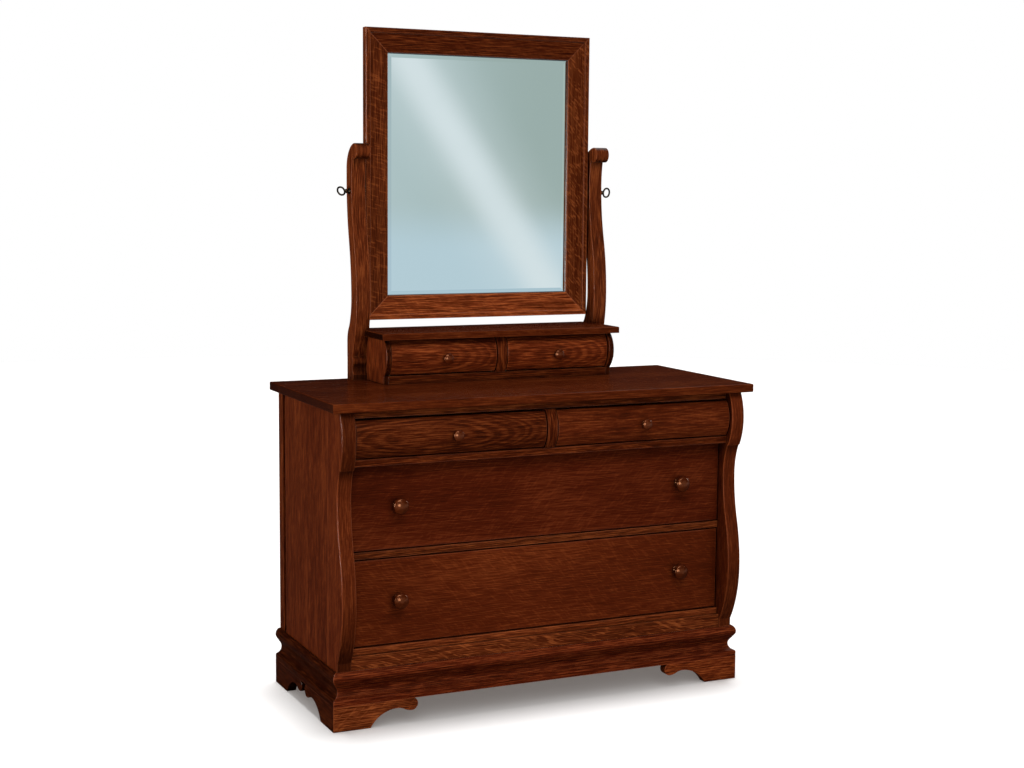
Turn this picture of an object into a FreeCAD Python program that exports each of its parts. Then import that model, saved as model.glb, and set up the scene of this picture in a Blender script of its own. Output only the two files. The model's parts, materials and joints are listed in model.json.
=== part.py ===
import FreeCAD, Part
import math
import os

# Sleigh dresser with a drawer deck and a tilting mirror.
# Millimetres. X runs to the right, Y to the back and Z up from the floor.
# X = 0 is the centre line and Y = 0 the middle of the overall depth.

V = FreeCAD.Vector

# Top slab
slab_width = 1219.0
slab_depth = 526.0
slab_thickness = 23.0
slab_overhang = 24.5            # past each case side
slab_edge_radius = 3.0

# Bracket base: four feet under a mitred moulding
foot_height = 65.0
foot_thickness = 26.0
foot_width = 101.0              # of the part that stands on the floor, along the front
foot_arch_end = 174.0           # crown of the arch, from the corner
foot_arch_height = 43.0
foot_scroll_start = 214.0       # underside of the scroll, from the corner
foot_scroll_height = 33.0
foot_side_gap = 59.0            # between the two scrolls at a side
foot_scroll_tuck = 2.0          # top of the scroll hidden by the moulding
foot_block = 48.0               # glue block inside each corner
base_side_step = 14.0           # base face outside the case side
base_front_setback = 39.0       # behind the slab's front edge
moulding_height = 87.0
moulding_thickness = 46.0
moulding_lip = 0.5              # moulding behind the face of the feet
moulding_fillet_height = 12.0   # flat over the feet
moulding_shoulder = 5.0         # round over the flat
moulding_ledge_height = 8.5     # from the flat up to the cove
moulding_ledge_step = 11.0      # bottom of the cove behind the face
moulding_cove_depth = 17.0
moulding_neck_step = 13.5       # top of the cove behind the face
moulding_neck_height = 15.0     # slope from there up to the bead
moulding_bead_height = 26.0
moulding_bead_crest = 10.5      # fullest part of the bead above its bottom
moulding_bead_step = 3.5        # bottom of the bead behind the face
moulding_top_step = 9.0         # top of the bead behind the face
base_back_thickness = 20.0

# Case front, from the base up
lower_rail_height = 35.0
lower_rail_setback = 53.0
lower_rail_thickness = 21.0
blade_height = 17.0
blade_setback = 62.0
lower_drawer_height = 223.0
middle_rail_height = 19.0
upper_drawer_height = 219.0
frieze_rail_height = 20.0
frieze_rail_setback = 33.0
top_drawer_height = 96.0
top_rail_height = 21.0
top_rail_setback = 40.0
reveal = 3.0                    # gap round each drawer front
drawer_setback = 68.0           # face of the wide drawers, behind the slab's front edge
rail_depth_behind_drawer = 45.0

# Sleigh post outline, as setbacks from the slab's front edge
post_width = 38.0
post_lobe_setback = 5.0         # fullest part of the round lobe beside the top drawers
post_lobe_end_setback = 23.0
post_ledge = 4.0                # step under the lobe
post_lobe_drop = 5.0            # lobe's end below the frieze rail
post_waist_setback = 45.0
post_waist_drop = 80.0          # waist below the lobe's end
post_belly_setback = 8.0
post_belly_height = 176.0       # above the base
post_ankle_setback = 39.0
post_ankle_height = 39.0
post_foot_setback = 49.0
post_foot_height = 21.0
post_edge = 1.5

# Case sides and back
side_thickness = 22.0
back_stile_depth = 34.0
side_groove_width = 22.0        # shadow groove beside the back stile
side_groove_depth = 10.0
back_stile_inset = 1.5          # from the slab's back edge
back_panel_thickness = 6.0
back_panel_inset = 12.0
bottom_panel_thickness = 9.0

# Drawer boxes and what carries them
runner_width = 58.0
guide_height = 26.0
web_back_depth = 25.0
web_back_gap = 14.0             # between the back rails and the back panel
running_gap = 0.3
guide_gap = 1.0
box_step = 3.0                  # drawer side inside the edge of its front
box_side = 14.0
box_bottom = 6.0
box_bottom_lift = 9.0
box_top_drop = 24.0             # drawer side below the top of its front
box_back_gap = 30.0
wide_front_thickness = 21.0
front_edge = 1.5

# Bowed top drawers
divider_width = 28.0
top_bow_setback = 13.0
top_bow_rise = 18.0
bow_thickness = 40.0

# Turned knobs
wide_knob_radius = 21.0
wide_knob_projection = 38.0
wide_knob_seat = 12.5
wide_knob_neck = 8.5
wide_knob_spread = 830.0
wide_knob_raise = 4.5           # above the middle of the drawer
small_knob_radius = 14.5
small_knob_projection = 22.0
small_knob_seat = 8.0
small_knob_neck = 5.5
top_knob_shift = 6.0            # nearer the centre line than the drawer's middle
deck_knob_shift = 4.5
deck_knob_drop = 5.0            # below the middle of the drawer
knob_flange_at = 0.06           # stations along the projection
knob_neck_at = 0.30
knob_under_at = 0.54
knob_rim_at = 0.73
knob_face_at = 0.88
knob_under_share = 0.72         # radii there, as shares of the head's radius
knob_face_share = 0.80

# Drawer deck on the slab
deck_width = 693.0
deck_front_reach = 181.0        # rail's face ahead of the slab's back edge
deck_back_inset = 6.0
deck_end_thickness = 14.0
deck_end_bow_rise = 24.0
deck_rail_height = 22.0
deck_rail_thickness = 22.0
deck_floor_thickness = 8.0
deck_drawer_height = 94.0
deck_bow_rise = 17.0
deck_bow_setback = 8.0          # drawer bow behind the bow of the end panels
deck_bow_thickness = 32.0
deck_shelf_thickness = 17.5
deck_shelf_overhang = 13.0
deck_shelf_lap = 5.0            # shelf's front edge ahead of the end panels' bow
deck_partition = 16.0
deck_back_thickness = 7.0
deck_box_gap = 12.0
deck_box_side = 9.0
deck_box_bottom = 4.0
deck_box_drop = 16.0

# Mirror posts, as reaches ahead of the slab's back edge and heights above the slab
mirror_post_thickness = 40.0
pivot_height = 518.0
pivot_reach = 25.0
neck_rise = 24.0                # slimmest part of the neck above the pivot
neck_front_reach = 40.0
neck_back_reach = 0.5
scroll_rise = 108.5             # centre of the scroll above the pivot
scroll_reach = 62.0
scroll_radius = 21.0
scroll_notch_angle = 45.0       # degrees below level, behind the scroll
crest_drop = 46.0               # start of the rounded crest below the scroll's centre
bend_height = 224.0             # foremost part of the sweep
bend_front_reach = 79.5
bend_back_reach = 36.5
shoulder_height = 136.5
shoulder_reach = 70.0
calf_height = 146.5
calf_reach = 18.0
heel_reach = 3.0
heel_height = 106.0
toe_reach = 53.0
toe_height = 14.5
toe_cove_reach = 46.0
nose_reach = 50.0
nose_height = 44.0
throat_reach = 44.0
throat_height = 65.0
hollow_reach = 55.0             # hollow between the throat and the shoulder
hollow_height = 98.0

# Mirror
mirror_side_gap = 3.5           # between the frame and each post
mirror_height = 798.0
mirror_lift = 24.0              # bottom edge above the deck's shelf
mirror_depth = 24.0
mirror_front_reach = 37.5       # front of the raised band ahead of the slab's back edge
mirror_member = 66.0
mirror_band = 14.0
mirror_band_step = 5.0
mirror_edge = 1.5
mirror_lip = 9.0                # wood in front of the glass
mirror_rabbet = 10.0
glass_thickness = 5.0
glass_edge = 2.5
glass_bevel = 12.7
glass_gap = 1.0
backing_thickness = 3.0

# Ring screws and the flanged bushes that they turn in
screw_radius = 3.0
screw_clearance = 0.05
screw_depth = 24.0
bush_wall = 3.0
bush_depth = 28.0
bush_flange_radius = 11.0
rosette_radius = 8.0
rosette_thickness = 2.5
screw_neck_radius = 3.4
screw_neck_length = 6.0
screw_ball_radius = 5.5
ring_height = 25.6
ring_length = 20.1
ring_end_radius = 9.0
ring_wire_radius = 1.9
ring_turn_left = 35.0           # degrees, top of the ring turned to the back
ring_turn_right = -10.0

# Planes worked out from the sizes above
knob_reach = max(0.0, small_knob_projection - top_bow_setback)
y_front = (knob_reach - slab_depth) / 2
y_back = y_front + slab_depth
x_case = slab_width / 2 - slab_overhang
x_case_in = x_case - side_thickness
x_post_in = x_case - post_width
x_base = x_case + base_side_step
y_base = y_front + base_front_setback
y_drawer = y_front + drawer_setback
y_post_back = y_drawer + rail_depth_behind_drawer
y_panel = y_back - back_panel_inset - back_panel_thickness
y_web_back = y_panel - web_back_gap - web_back_depth
y_box_back = y_panel - box_back_gap
y_stile = y_back - back_stile_inset - back_stile_depth

z_base = foot_height + moulding_height
z_lower_rail = z_base + lower_rail_height
z_blade = z_lower_rail + blade_height
z_lower = z_blade + reveal
z_middle = z_lower + lower_drawer_height + reveal
z_middle_top = z_middle + middle_rail_height
z_upper = z_middle_top + reveal
z_frieze = z_upper + upper_drawer_height + reveal
z_frieze_top = z_frieze + frieze_rail_height
z_top = z_frieze_top + reveal
z_top_rail = z_top + top_drawer_height + reveal
z_slab = z_top_rail + top_rail_height
z_deck = z_slab + slab_thickness

nodes = {}


def add(name, *solids):
    nodes[name] = solids[0] if len(solids) == 1 else Part.makeCompound(list(solids))


def box(x0, x1, y0, y1, z0, z1):
    return Part.makeBox(x1 - x0, y1 - y0, z1 - z0, V(x0, y0, z0))


def mirrored(shape):
    return shape.mirror(V(0, 0, 0), V(1, 0, 0))


def lift(plane, a, b, c):
    if plane == "yz":
        return V(c, a, b)
    if plane == "xz":
        return V(a, c, b)
    return V(a, b, c)


# Closed outline in a plane: a step of one point is a line, and one of two points an arc through the first
def outline(plane, start, steps, level=0.0):
    edges = []
    at = lift(plane, *start, level)
    for step in list(steps) + [[start]]:
        points = [lift(plane, *point, level) for point in step]
        if (points[-1] - at).Length < 1e-6:
            continue
        if len(points) == 1:
            edges.append(Part.LineSegment(at, points[0]).toShape())
        else:
            edges.append(Part.Arc(at, points[0], points[1]).toShape())
        at = points[-1]
    return Part.Wire(edges)


def prism(plane, start, steps, low, high):
    face = Part.Face(outline(plane, start, steps, low))
    return face.extrude(lift(plane, 0, 0, high - low))


# Edges that lie in the plane where one coordinate has a given value
def edges_at(shape, axis, value):
    def lies_there(edge):
        return all(abs(getattr(vertex.Point, axis) - value) < 1e-6 for vertex in edge.Vertexes)

    return [edge for edge in shape.Edges if lies_there(edge)]


def eased(shape, axis, value):
    return shape.makeChamfer(front_edge, edges_at(shape, axis, value))


# Outline edges at the ends of a prism along X, without those on the planes that it stands against
def outline_edges(shape, ends, flats):
    found = [edge for end in ends for edge in edges_at(shape, "x", end)]
    for axis, value in flats:
        flat = edges_at(shape, axis, value)
        found = [edge for edge in found if not any(edge.isSame(other) for other in flat)]
    return found


# Front outline of a bow between two heights, from the lower end to the upper one
def bow(y_ends, rise, z0, z1):
    return [(y_ends - rise, (z0 + z1) / 2), (y_ends, z1)]


# Point half way along an arc that leaves its start along one coordinate, the second unless told
def sweep_mid(start, end, along=1):
    run = end[along] - start[along]
    rise = end[1 - along] - start[1 - along]
    radius = (run * run + rise * rise) / (2 * abs(rise))
    sag = math.copysign(radius - math.sqrt(radius * radius - run * run / 4), rise)
    middle = start[along] + run / 2
    return (start[0] + sag, middle) if along else (middle, start[1] + sag)


def make_slab():
    slab = box(-slab_width / 2, slab_width / 2, y_front, y_back, z_slab, z_deck)
    rims = edges_at(slab, "z", z_deck) + edges_at(slab, "z", z_slab)
    add("top_slab", slab.makeFillet(slab_edge_radius, rims))


# Bracket wing, measured along the base from its corner: an arch, then a scroll that rolls up to the moulding
def wing_steps(place, stretch=1.0):
    radius = (foot_height + foot_scroll_tuck - foot_scroll_height) / 2
    centre = foot_scroll_height + radius
    heel = (foot_width * stretch, 0)
    crown = (foot_arch_end * stretch, foot_arch_height)
    low = (foot_scroll_start * stretch, foot_scroll_height)
    swing = ((crown[0] + low[0]) / 2, (crown[1] + low[1]) / 2)
    end = low[0] + math.sqrt(radius ** 2 - (foot_height - centre) ** 2)
    steps = [
        [heel],
        [sweep_mid(crown, heel, 0), crown],
        [sweep_mid(crown, swing, 0), swing],
        [sweep_mid(low, swing, 0), low],
        [(low[0] + radius, centre), (end, foot_height)],
        [(0, foot_height)],
    ]
    return [[(place(a), b) for a, b in step] for step in steps]


def make_feet():
    t = foot_thickness
    x, y, far = -x_base, y_base, -x_base + 2 * foot_scroll_start
    front_plan = prism("xy", (x, y), [[(far, y)], [(far, y + t)], [(x + t, y + t)]], 0, foot_height)
    side_plan = prism("xy", (x, y), [[(x + t, y + t)], [(x + t, y_back)], [(x, y_back)]], 0, foot_height)
    front = prism("xz", (x, 0), wing_steps(lambda a: x + a), y, y + t).common(front_plan)
    stretch = (y_back - y - foot_side_gap) / (2 * foot_scroll_start)
    side = prism("yz", (y, 0), wing_steps(lambda a: y + a, stretch), x, x + t).common(side_plan)
    rear = prism("yz", (y_back, 0), wing_steps(lambda a: y_back - a, stretch), x, x + t)
    front_block = box(x + t, x + t + foot_block, y + t, y + t + foot_block, 0, foot_height)
    rear_block = box(x + t, x + t + foot_block, y_back - foot_block, y_back, 0, foot_height)
    for name, pieces in (("front_foot", (front, side, front_block)), ("back_foot", (rear, rear_block))):
        add(name + "_left", *[piece.Solids[0] for piece in pieces])
        add(name + "_right", *[mirrored(piece.Solids[0]) for piece in pieces])


# Base moulding across its thickness: flat, round shoulder, deep cove and a bead over a slope
def moulding_steps(place):
    z_flat = foot_height + moulding_fillet_height
    z_cove = z_flat + moulding_ledge_height
    z_bead = z_base - moulding_bead_height
    z_neck = z_bead - moulding_neck_height
    flat = (moulding_lip, z_flat)
    shoulder = (moulding_lip + moulding_shoulder, z_flat + moulding_shoulder)
    steps = [
        [flat],
        [sweep_mid(flat, shoulder), shoulder],
        [(moulding_ledge_step, z_cove)],
        [(moulding_cove_depth, (z_cove + z_neck) / 2), (moulding_neck_step, z_neck)],
        [(moulding_bead_step, z_bead)],
        [(moulding_lip, z_bead + moulding_bead_crest), (moulding_top_step, z_base)],
        [(moulding_thickness, z_base)],
        [(moulding_thickness, foot_height)],
    ]
    return [[(place(a), b) for a, b in step] for step in steps]


def make_moulding():
    t = moulding_thickness
    x, y = x_base, y_base
    front = prism("yz", (y + moulding_lip, foot_height), moulding_steps(lambda a: y + a), -x, x)
    side = prism("xz", (moulding_lip - x, foot_height), moulding_steps(lambda a: a - x), y, y_back)
    front_corners = [[(x, y)], [(x - t, y + t)], [(t - x, y + t)]]
    side_corners = [[(t - x, y + t)], [(t - x, y_back)], [(-x, y_back)]]
    front_plan = prism("xy", (-x, y), front_corners, foot_height, z_base)
    side_plan = prism("xy", (-x, y), side_corners, foot_height, z_base)
    left = side.common(side_plan).Solids[0]
    add("moulding_front", front.common(front_plan).Solids[0])
    add("moulding_left", left)
    add("moulding_right", mirrored(left))
    add("base_back_rail", box(t - x, x - t, y_back - base_back_thickness, y_back, foot_height, z_base))


# Sleigh post seen from the side: foot, belly, waist and the round lobe beside the top drawers
def make_posts():
    z_lobe = z_frieze - post_lobe_drop
    z_ankle = z_base + post_ankle_height
    foot = (y_front + post_foot_setback, z_base + post_foot_height)
    ankle = (y_front + post_ankle_setback, z_ankle)
    belly = (y_front + post_belly_setback, z_base + post_belly_height)
    waist = (y_front + post_waist_setback, z_lobe - post_waist_drop)
    swing = ((belly[0] + waist[0]) / 2, (belly[1] + waist[1]) / 2)
    ledge = (y_front + post_lobe_end_setback + post_ledge, z_lobe)
    lobe = (y_front + post_lobe_setback, (z_lobe + z_slab) / 2)
    steps = [
        [(foot[0], z_base)],
        [foot],
        [ankle],
        [sweep_mid(belly, ankle), belly],
        [sweep_mid(belly, swing), swing],
        [sweep_mid(waist, swing), waist],
        [sweep_mid(waist, ledge), ledge],
        [(y_front + post_lobe_end_setback, z_lobe)],
        [lobe, (y_front + post_lobe_end_setback, z_slab)],
        [(y_post_back, z_slab)],
    ]
    post = prism("yz", (y_post_back, z_base), steps, -x_case, -x_post_in)
    flats = (("y", y_post_back), ("z", z_base), ("z", z_slab))
    post = post.makeChamfer(post_edge, outline_edges(post, (-x_case, -x_post_in), flats))
    add("sleigh_post_left", post)
    add("sleigh_post_right", mirrored(post))


def make_sides():
    panel = box(-x_case, -x_case_in, y_post_back, y_stile, z_base, z_slab)
    groove_end = -x_case + side_groove_depth
    panel = panel.cut(box(-x_case, groove_end, y_stile - side_groove_width, y_stile, z_base, z_slab))
    stile = box(-x_case, -x_case_in, y_stile, y_stile + back_stile_depth, z_base, z_slab)
    add("side_panel_left", panel)
    add("side_panel_right", mirrored(panel))
    add("back_stiles", stile, mirrored(stile))
    z_bottom = z_base + bottom_panel_thickness
    y_rail = y_front + lower_rail_setback + lower_rail_thickness
    add("bottom_panel", box(-x_case_in, x_case_in, y_post_back, y_panel, z_base, z_bottom))
    add("back_panel", box(-x_case_in, x_case_in, y_panel, y_panel + back_panel_thickness, z_base, z_slab))
    add("lower_rail", box(-x_post_in, x_post_in, y_front + lower_rail_setback, y_rail, z_base, z_lower_rail))


def make_rails():
    rails = (
        ("bottom_blade", blade_setback, z_lower_rail, z_blade),
        ("middle_rail", drawer_setback, z_middle, z_middle_top),
        ("frieze_rail", frieze_rail_setback, z_frieze, z_frieze_top),
        ("top_rail", top_rail_setback, z_top_rail, z_slab),
    )
    for name, setback, z0, z1 in rails:
        rail = box(-x_post_in, x_post_in, y_front + setback, y_post_back, z0, z1)
        add(name, eased(rail, "y", y_front + setback))
    y_ends = y_front + top_bow_setback + top_bow_rise
    half = divider_width / 2
    bowed = bow(y_ends, top_bow_rise, z_frieze_top, z_top_rail)
    steps = [[(y_ends, z_frieze_top)], bowed, [(y_post_back, z_top_rail)]]
    add("top_divider", prism("yz", (y_post_back, z_frieze_top), steps, -half, half))


# Web frames: runners carry the drawer sides, guides keep them straight and back rails join the runners
def make_runners():
    x_guide = x_post_in - reveal - box_step + guide_gap
    x_inner = x_case_in - runner_width
    pieces = []
    for z0, z1 in ((z_lower_rail, z_blade), (z_middle, z_middle_top), (z_frieze, z_frieze_top)):
        runner = box(x_inner, x_case_in, y_post_back, y_web_back, z0, z1)
        guide = box(x_guide, x_case_in, y_post_back, y_web_back, z1, z1 + guide_height)
        pieces += [runner, guide, mirrored(runner), mirrored(guide)]
        pieces.append(box(-x_case_in, x_case_in, y_web_back, y_web_back + web_back_depth, z0, z1))
    half = divider_width / 2 + reveal + box_step - guide_gap
    wide = half + runner_width / 2
    pieces.append(box(-wide, wide, y_post_back, y_web_back, z_frieze, z_frieze_top))
    pieces.append(box(-half, half, y_post_back, y_web_back, z_frieze_top, z_frieze_top + guide_height))
    add("drawer_runners", *pieces)


# Knob turned about an axis along Y: seat, hollowed neck, round head and a face that is part of a sphere
def knob(x, y, z, radius, projection, seat, neck):
    face = radius * knob_face_share
    dome = projection * (1 - knob_face_at)
    sphere = (face * face + dome * dome) / (2 * dome)
    half_turn = math.asin(face / sphere) / 2
    dome_mid = (sphere * math.sin(half_turn), sphere * (1 - math.cos(half_turn)) - projection)
    steps = [
        [(seat, 0)],
        [(seat, -projection * knob_flange_at)],
        [(neck, -projection * knob_neck_at), (radius * knob_under_share, -projection * knob_under_at)],
        [(radius, -projection * knob_rim_at), (face, -projection * knob_face_at)],
        [dome_mid, (0, -projection)],
    ]
    half = Part.Face(outline("xy", (0, 0), steps))
    solid = half.revolve(V(0, 0, 0), V(0, 1, 0), 360)
    solid.translate(V(x, y, z))
    return solid


# Open box behind a drawer front: two sides, a back and a bottom let in between them
def drawer_box(x0, x1, y0, y1, z0, z1, side, bottom, lift_up):
    return (
        box(x0, x0 + side, y0, y1, z0, z1),
        box(x1 - side, x1, y0, y1, z0, z1),
        box(x0 + side, x1 - side, y1 - side, y1, z0 + lift_up, z1),
        box(x0 + side, x1 - side, y0, y1 - side, z0 + lift_up, z0 + lift_up + bottom),
    )


def make_wide_drawers():
    x_front = x_post_in - reveal
    x_box = x_front - box_step
    y_box = y_drawer + wide_front_thickness
    levels = (("lower", z_blade, lower_drawer_height), ("upper", z_middle_top, upper_drawer_height))
    for name, z_rail, height in levels:
        z0 = z_rail + reveal
        front = box(-x_front, x_front, y_drawer, y_box, z0, z0 + height)
        add(name + "_drawer_front", eased(front, "y", y_drawer))
        z_box = z_rail + running_gap
        z_rim = z0 + height - box_top_drop
        add(name + "_drawer_box", *drawer_box(-x_box, x_box, y_box, y_box_back, z_box, z_rim,
                                              box_side, box_bottom, box_bottom_lift))
        z_knob = z0 + height / 2 + wide_knob_raise
        knobs = [knob(side * wide_knob_spread / 2, y_drawer, z_knob, wide_knob_radius,
                      wide_knob_projection, wide_knob_seat, wide_knob_neck) for side in (-1, 1)]
        add(name + "_drawer_knobs", *knobs)


# Bowed drawer front with its four front edges eased
def bowed_front(x0, x1, y_ends, y_inside, rise, z0, z1):
    steps = [[(y_ends, z0)], bow(y_ends, rise, z0, z1), [(y_inside, z1)]]
    front = prism("yz", (y_inside, z0), steps, x0, x1)
    ends = outline_edges(front, (x0, x1), (("y", y_inside), ("z", z0), ("z", z1)))
    return front.makeChamfer(front_edge, ends + edges_at(front, "y", y_ends))


def make_top_drawers():
    x0 = divider_width / 2 + reveal
    x1 = x_post_in - reveal
    z1 = z_top + top_drawer_height
    y_ends = y_front + top_bow_setback + top_bow_rise
    y_box = y_front + top_bow_setback + bow_thickness
    front = bowed_front(x0, x1, y_ends, y_box, top_bow_rise, z_top, z1)
    x_knob = (x0 + x1) / 2 - top_knob_shift
    pull = knob(x_knob, y_front + top_bow_setback, (z_top + z1) / 2, small_knob_radius,
                small_knob_projection, small_knob_seat, small_knob_neck)
    pieces = drawer_box(x0 + box_step, x1 - box_step, y_box, y_box_back, z_frieze_top + running_gap,
                        z1 - box_top_drop, box_side, box_bottom, box_bottom_lift)
    add("top_right_drawer_front", front)
    add("top_right_drawer_box", *pieces)
    add("top_right_drawer_knob", pull)
    add("top_left_drawer_front", mirrored(front))
    add("top_left_drawer_box", *[mirrored(piece) for piece in pieces])
    add("top_left_drawer_knob", mirrored(pull))


x_deck = deck_width / 2
x_deck_in = x_deck - deck_end_thickness
y_deck = y_back - deck_front_reach
y_deck_back = y_back - deck_back_inset
y_deck_panel = y_deck_back - deck_back_thickness
z_deck_rail = z_deck + deck_rail_height
z_shelf = z_deck_rail + deck_drawer_height + 2 * reveal
z_deck_top = z_shelf + deck_shelf_thickness


def make_deck():
    bowed = bow(y_deck, deck_end_bow_rise, z_deck_rail, z_shelf)
    steps = [[(y_deck, z_deck)], [(y_deck, z_deck_rail)], bowed, [(y_deck_back, z_shelf)]]
    end = prism("yz", (y_deck_back, z_deck), steps, -x_deck, -x_deck_in)
    add("deck_end_left", end)
    add("deck_end_right", mirrored(end))
    y_rail = y_deck + deck_rail_thickness
    add("deck_rail", box(-x_deck_in, x_deck_in, y_deck, y_rail, z_deck, z_deck_rail))
    z_floor = z_deck_rail - deck_floor_thickness
    add("deck_floor", box(-x_deck_in, x_deck_in, y_rail, y_deck_panel, z_floor, z_deck_rail))
    add("deck_back", box(-x_deck_in, x_deck_in, y_deck_panel, y_deck_back, z_deck, z_shelf))
    y_ends = y_deck - deck_end_bow_rise + deck_bow_setback + deck_bow_rise
    steps = [[(y_ends, z_deck_rail)], bow(y_ends, deck_bow_rise, z_deck_rail, z_shelf), [(y_rail, z_shelf)]]
    block = prism("yz", (y_rail, z_deck_rail), steps, -divider_width / 2, divider_width / 2)
    wall = box(-deck_partition / 2, deck_partition / 2, y_rail, y_deck_panel, z_deck_rail, z_shelf)
    add("deck_divider", block.fuse(wall).removeSplitter().Solids[0])
    make_shelf()


# Shelf that laps over the bow in front and is notched round the mirror posts behind
def make_shelf():
    x = x_deck + deck_shelf_overhang
    y = y_deck - deck_end_bow_rise - deck_shelf_lap
    y_notch = y_back - shoulder_reach - guide_gap
    steps = [[(x, y)], [(x, y_notch)], [(x_deck, y_notch)], [(x_deck, y_deck_back)],
             [(-x_deck, y_deck_back)], [(-x_deck, y_notch)], [(-x, y_notch)]]
    shelf = prism("xy", (-x, y), steps, z_shelf, z_deck_top)
    add("deck_shelf", eased(shelf, "z", z_deck_top))


def make_deck_drawers():
    x0 = divider_width / 2 + reveal
    x1 = x_deck_in - reveal
    z0 = z_deck_rail + reveal
    z1 = z0 + deck_drawer_height
    y_bow = y_deck - deck_end_bow_rise + deck_bow_setback
    y_box = y_bow + deck_bow_thickness
    y_ends = y_bow + deck_bow_rise
    front = bowed_front(x0, x1, y_ends, y_box, deck_bow_rise, z0, z1)
    x_knob = (x0 + x1) / 2 - deck_knob_shift
    z_knob = (z0 + z1) / 2 - deck_knob_drop
    pull = knob(x_knob, y_bow, z_knob, small_knob_radius, small_knob_projection, small_knob_seat,
                small_knob_neck)
    pieces = drawer_box(x0, x1, y_box, y_deck_panel - deck_box_gap, z_deck_rail + running_gap,
                        z1 - deck_box_drop, deck_box_side, deck_box_bottom, deck_box_bottom)
    add("deck_right_drawer_front", front)
    add("deck_right_drawer_box", *pieces)
    add("deck_right_drawer_knob", pull)
    add("deck_left_drawer_front", mirrored(front))
    add("deck_left_drawer_box", *[mirrored(piece) for piece in pieces])
    add("deck_left_drawer_knob", mirrored(pull))


x_mirror_post = x_deck + mirror_post_thickness
y_pivot = y_back - pivot_reach
z_pivot = z_deck + pivot_height
x_mirror = x_deck - mirror_side_gap
z_mirror = z_deck_top + mirror_lift
z_mirror_top = z_mirror + mirror_height
y_mirror = y_back - mirror_front_reach
bore_radius = screw_radius + screw_clearance
bush_radius = bore_radius + bush_wall


# Round bar on the pivot axis between two places along X
def pivot_rod(radius, x0, x1):
    return Part.makeCylinder(radius, x1 - x0, V(x0, y_pivot, z_pivot), V(1, 0, 0))


# Mirror post seen from the side, from the toe up the front, over the scroll and down the back
def make_mirror_posts():
    def at(reach, height):
        return (y_back - reach, z_deck + height)

    neck_height = pivot_height + neck_rise
    scroll_height = pivot_height + scroll_rise
    bend_front = at(bend_front_reach, bend_height)
    bend_back = at(bend_back_reach, bend_height)
    neck_front = at(neck_front_reach, neck_height)
    neck_back = at(neck_back_reach, neck_height)
    swing_front = ((bend_front[0] + neck_front[0]) / 2, (bend_front[1] + neck_front[1]) / 2)
    swing_back = ((bend_back[0] + neck_back[0]) / 2, (bend_back[1] + neck_back[1]) / 2)
    shoulder = at(shoulder_reach, shoulder_height)
    heel = at(heel_reach, heel_height)
    calf = at(calf_reach, calf_height)
    throat = at(throat_reach, throat_height)
    crest = at(neck_back_reach, scroll_height - crest_drop)
    scroll_top = at(scroll_reach, scroll_height + scroll_radius)
    bend = math.radians(scroll_notch_angle)
    notch = at(scroll_reach - scroll_radius * math.cos(bend), scroll_height - scroll_radius * math.sin(bend))
    steps = [
        [at(toe_reach, toe_height)],
        [at(toe_cove_reach, (toe_height + nose_height) / 2), at(nose_reach, nose_height)],
        [at(nose_reach, (nose_height + throat_height) / 2), throat],
        [at(hollow_reach, hollow_height), shoulder],
        [sweep_mid(bend_front, shoulder), bend_front],
        [sweep_mid(bend_front, swing_front), swing_front],
        [sweep_mid(neck_front, swing_front), neck_front],
        [sweep_mid(neck_front, notch), notch],
        [at(scroll_reach + scroll_radius, scroll_height), scroll_top],
        [sweep_mid(crest, scroll_top), crest],
        [neck_back],
        [sweep_mid(neck_back, swing_back), swing_back],
        [sweep_mid(bend_back, swing_back), bend_back],
        [sweep_mid(bend_back, calf), calf],
        [sweep_mid(heel, calf), heel],
        [at(heel_reach, 0)],
    ]
    post = prism("yz", at(toe_reach, 0), steps, -x_mirror_post, -x_deck)
    post = post.cut(pivot_rod(bore_radius, -x_mirror_post, -x_deck))
    add("mirror_post_left", post)
    add("mirror_post_right", mirrored(post))


# Frame member across its width: raised outer band, flat face, lip and the rabbet behind it
def member_steps(place):
    face = y_mirror + mirror_band_step
    seat = face + mirror_lip
    edge = mirror_edge
    steps = [
        [(edge, y_mirror)],
        [(mirror_band - edge, y_mirror)],
        [(mirror_band, y_mirror + edge)],
        [(mirror_band, face)],
        [(mirror_member - edge, face)],
        [(mirror_member, face + edge)],
        [(mirror_member, seat)],
        [(mirror_member - mirror_rabbet, seat)],
        [(mirror_member - mirror_rabbet, y_mirror + mirror_depth)],
        [(0, y_mirror + mirror_depth)],
    ]
    return [[(place(a), b) for a, b in step] for step in steps]


def make_mirror_frame():
    t = mirror_member
    x, z0, z1 = x_mirror, z_mirror, z_mirror_top
    y0, y1 = y_mirror, y_mirror + mirror_depth
    stile = prism("xy", (-x, y0 + mirror_edge), member_steps(lambda a: a - x), z0, z1)
    stile_face = prism("xz", (-x, z0), [[(t - x, z0 + t)], [(t - x, z1 - t)], [(-x, z1)]], y0, y1)
    stile = stile.common(stile_face).Solids[0]
    stile = stile.cut(pivot_rod(bush_radius, -x, bush_depth - x))
    add("mirror_stile_left", stile)
    add("mirror_stile_right", mirrored(stile))
    for name, edge, inward in (("bottom", z0, 1), ("top", z1, -1)):
        steps = [[(b, edge + inward * a) for a, b in step] for step in member_steps(lambda a: a)]
        rail = prism("yz", (y0 + mirror_edge, edge), steps, -x, x)
        inner = edge + inward * t
        plan = prism("xz", (-x, edge), [[(x, edge)], [(x - t, inner)], [(t - x, inner)]], y0, y1)
        add("mirror_rail_" + name, rail.common(plan).Solids[0])


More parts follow.
